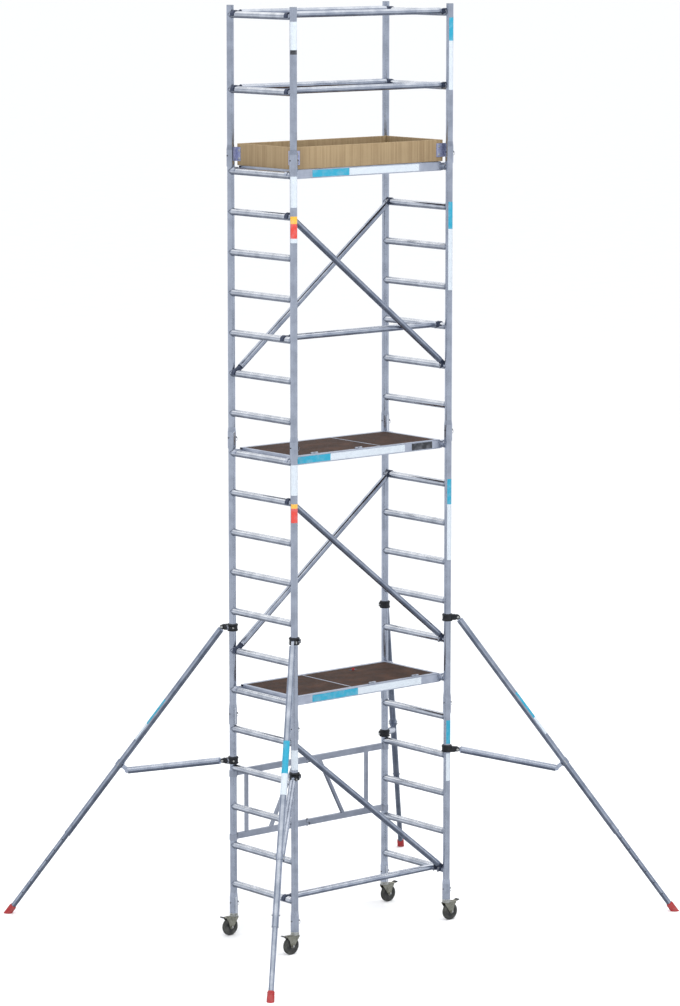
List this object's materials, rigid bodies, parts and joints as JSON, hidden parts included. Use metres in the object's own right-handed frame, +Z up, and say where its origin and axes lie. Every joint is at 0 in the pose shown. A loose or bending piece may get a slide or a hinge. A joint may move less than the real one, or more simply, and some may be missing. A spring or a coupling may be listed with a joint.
{
  "type": "mobile tower scaffold",
  "caption": "Narrow aluminium mobile access tower: stacked ladder frames, hooked trapdoor decks, guard rails, toe boards, diagonal braces, braked castors and telescopic stabilisers.",
  "frame": {"origin": "on the floor, at the centre of the four posts", "axes": "+Z up, X along the decks, Y across the decks from the braced front to the gate side"},
  "size_m": [3.8139, 3.1335, 6.5482],
  "materials": {
    "frame_aluminium": "mill finish with a bluish clear anodised coat",
    "gate_aluminium": "satin anodised box section",
    "brace_aluminium": "bright drawn tube",
    "claw_alloy": "dark cast alloy",
    "deck_aluminium": "satin anodised extrusion",
    "deck_plywood": "phenolic-faced anti-slip birch plywood",
    "toe_board_wood": "planed softwood",
    "clip_steel": "zinc plated sheet",
    "pin_steel": "blackened steel",
    "cap_plastic": "moulded grey",
    "zinc_steel": "yellowish zinc plated pressing",
    "wheel_rubber": "grey-black rubber",
    "coupler_black": "black coated",
    "stabiliser_aluminium": "bright drawn tube",
    "leg_aluminium": "bright drawn tube",
    "foot_rubber": "red moulded rubber"
  },
  "bodies": {
    "tower": {"left_base_frame": "frame_aluminium", "right_base_frame": "frame_aluminium", "left_middle_frame": "frame_aluminium", "right_middle_frame": "frame_aluminium", "left_upper_frame": "frame_aluminium", "right_upper_frame": "frame_aluminium", "left_guard_frame": "frame_aluminium", "right_guard_frame": "frame_aluminium", "left_gate": "gate_aluminium", "right_gate": "gate_aluminium", "horizontal_braces": "brace_aluminium", "base_diagonal": "brace_aluminium", "middle_diagonals": "brace_aluminium", "upper_diagonals": "brace_aluminium", "guard_rails": "brace_aluminium", "brace_claws": "claw_alloy", "lower_deck_frame": "deck_aluminium", "middle_deck_frame": "deck_aluminium", "top_deck_frame": "deck_aluminium", "deck_boards": "deck_plywood", "toe_boards": "toe_board_wood", "toe_board_clips": "clip_steel", "lock_pins": "pin_steel", "post_caps": "cap_plastic", "castor_stems": "zinc_steel"},
    "lower_hatch": {"lower_hatch": "deck_plywood"},
    "middle_hatch": {"middle_hatch": "deck_plywood"},
    "top_hatch": {"top_hatch": "deck_plywood"},
    "front_left_castor": {"front_left_fork": "zinc_steel"},
    "front_left_wheel": {"front_left_wheel": "wheel_rubber"},
    "front_left_pedal": {"front_left_pedal": "zinc_steel"},
    "front_left_stabiliser": {"front_left_clamps": "coupler_black", "front_left_tube": "stabiliser_aluminium", "front_left_strut": "stabiliser_aluminium"},
    "front_left_leg": {"front_left_leg": "leg_aluminium", "front_left_foot": "foot_rubber"},
    "back_left_castor": {"back_left_fork": "zinc_steel"},
    "back_left_wheel": {"back_left_wheel": "wheel_rubber"},
    "back_left_pedal": {"back_left_pedal": "zinc_steel"},
    "back_left_stabiliser": {"back_left_clamps": "coupler_black", "back_left_tube": "stabiliser_aluminium", "back_left_strut": "stabiliser_aluminium"},
    "back_left_leg": {"back_left_leg": "leg_aluminium", "back_left_foot": "foot_rubber"},
    "front_right_castor": {"front_right_fork": "zinc_steel"},
    "front_right_wheel": {"front_right_wheel": "wheel_rubber"},
    "front_right_pedal": {"front_right_pedal": "zinc_steel"},
    "front_right_stabiliser": {"front_right_clamps": "coupler_black", "front_right_tube": "stabiliser_aluminium", "front_right_strut": "stabiliser_aluminium"},
    "front_right_leg": {"front_right_leg": "leg_aluminium", "front_right_foot": "foot_rubber"},
    "back_right_castor": {"back_right_fork": "zinc_steel"},
    "back_right_wheel": {"back_right_wheel": "wheel_rubber"},
    "back_right_pedal": {"back_right_pedal": "zinc_steel"},
    "back_right_stabiliser": {"back_right_clamps": "coupler_black", "back_right_tube": "stabiliser_aluminium", "back_right_strut": "stabiliser_aluminium"},
    "back_right_leg": {"back_right_leg": "leg_aluminium", "back_right_foot": "foot_rubber"}
  },
  "joints": [
    {"name": "lower_hatch_hinge", "type": "hinge", "parent": "tower", "child": "lower_hatch", "pos_m": [0, -0.266, 1.8145], "axis": [1, 0, 0], "range_deg": [0, 90]},
    {"name": "middle_hatch_hinge", "type": "hinge", "parent": "tower", "child": "middle_hatch", "pos_m": [0, -0.266, 3.4945], "axis": [1, 0, 0], "range_deg": [0, 90]},
    {"name": "top_hatch_hinge", "type": "hinge", "parent": "tower", "child": "top_hatch", "pos_m": [0, -0.266, 5.4545], "axis": [1, 0, 0], "range_deg": [0, 90]},
    {"name": "front_left_castor_swivel", "type": "hinge", "parent": "tower", "child": "front_left_castor", "pos_m": [-0.705, -0.34, 0.14], "axis": [0, 0, 1], "continuous": true},
    {"name": "front_left_wheel_roll", "type": "hinge", "parent": "front_left_castor", "child": "front_left_wheel", "pos_m": [-0.74, -0.34, 0.0625], "axis": [0, 1, 0], "continuous": true},
    {"name": "front_left_brake_pedal", "type": "hinge", "parent": "front_left_castor", "child": "front_left_pedal", "pos_m": [-0.773, -0.34, 0.129], "axis": [0, 1, 0], "range_deg": [-12, 0]},
    {"name": "front_left_stabiliser_swing", "type": "hinge", "parent": "tower", "child": "front_left_stabiliser", "pos_m": [-0.705, -0.34, 1.74], "axis": [0, 0, 1], "range_deg": [-60, 60]},
    {"name": "front_left_leg_slide", "type": "slide", "parent": "front_left_stabiliser", "child": "front_left_leg", "axis": [-0.3397, -0.3157, -0.886], "range_m": [-0.42, 0]},
    {"name": "back_left_castor_swivel", "type": "hinge", "parent": "tower", "child": "back_left_castor", "pos_m": [-0.705, 0.34, 0.14], "axis": [0, 0, 1], "continuous": true},
    {"name": "back_left_wheel_roll", "type": "hinge", "parent": "back_left_castor", "child": "back_left_wheel", "pos_m": [-0.74, 0.34, 0.0625], "axis": [0, 1, 0], "continuous": true},
    {"name": "back_left_brake_pedal", "type": "hinge", "parent": "back_left_castor", "child": "back_left_pedal", "pos_m": [-0.773, 0.34, 0.129], "axis": [0, 1, 0], "range_deg": [-12, 0]},
    {"name": "back_left_stabiliser_swing", "type": "hinge", "parent": "tower", "child": "back_left_stabiliser", "pos_m": [-0.705, 0.34, 1.74], "axis": [0, 0, 1], "range_deg": [-60, 60]},
    {"name": "back_left_leg_slide", "type": "slide", "parent": "back_left_stabiliser", "child": "back_left_leg", "axis": [-0.3042, 0.5227, -0.7964], "range_m": [-0.7, 0]},
    {"name": "front_right_castor_swivel", "type": "hinge", "parent": "tower", "child": "front_right_castor", "pos_m": [0.705, -0.34, 0.14], "axis": [0, 0, 1], "continuous": true},
    {"name": "front_right_wheel_roll", "type": "hinge", "parent": "front_right_castor", "child": "front_right_wheel", "pos_m": [0.74, -0.34, 0.0625], "axis": [0, 1, 0], "continuous": true},
    {"name": "front_right_brake_pedal", "type": "hinge", "parent": "front_right_castor", "child": "front_right_pedal", "pos_m": [0.773, -0.34, 0.129], "axis": [0, 1, 0], "range_deg": [0, 12]},
    {"name": "front_right_stabiliser_swing", "type": "hinge", "parent": "tower", "child": "front_right_stabiliser", "pos_m": [0.705, -0.34, 1.74], "axis": [0, 0, 1], "range_deg": [-60, 60]},
    {"name": "front_right_leg_slide", "type": "slide", "parent": "front_right_stabiliser", "child": "front_right_leg", "axis": [0.5031, -0.3059, -0.8083], "range_m": [-0.65, 0]},
    {"name": "back_right_castor_swivel", "type": "hinge", "parent": "tower", "child": "back_right_castor", "pos_m": [0.705, 0.34, 0.14], "axis": [0, 0, 1], "continuous": true},
    {"name": "back_right_wheel_roll", "type": "hinge", "parent": "back_right_castor", "child": "back_right_wheel", "pos_m": [0.74, 0.34, 0.0625], "axis": [0, 1, 0], "continuous": true},
    {"name": "back_right_brake_pedal", "type": "hinge", "parent": "back_right_castor", "child": "back_right_pedal", "pos_m": [0.773, 0.34, 0.129], "axis": [0, 1, 0], "range_deg": [0, 12]},
    {"name": "back_right_stabiliser_swing", "type": "hinge", "parent": "tower", "child": "back_right_stabiliser", "pos_m": [0.705, 0.34, 1.74], "axis": [0, 0, 1], "range_deg": [-60, 60]},
    {"name": "back_right_leg_slide", "type": "slide", "parent": "back_right_stabiliser", "child": "back_right_leg", "axis": [0.4237, 0.4237, -0.8006], "range_m": [-0.68, 0]}
  ]
}
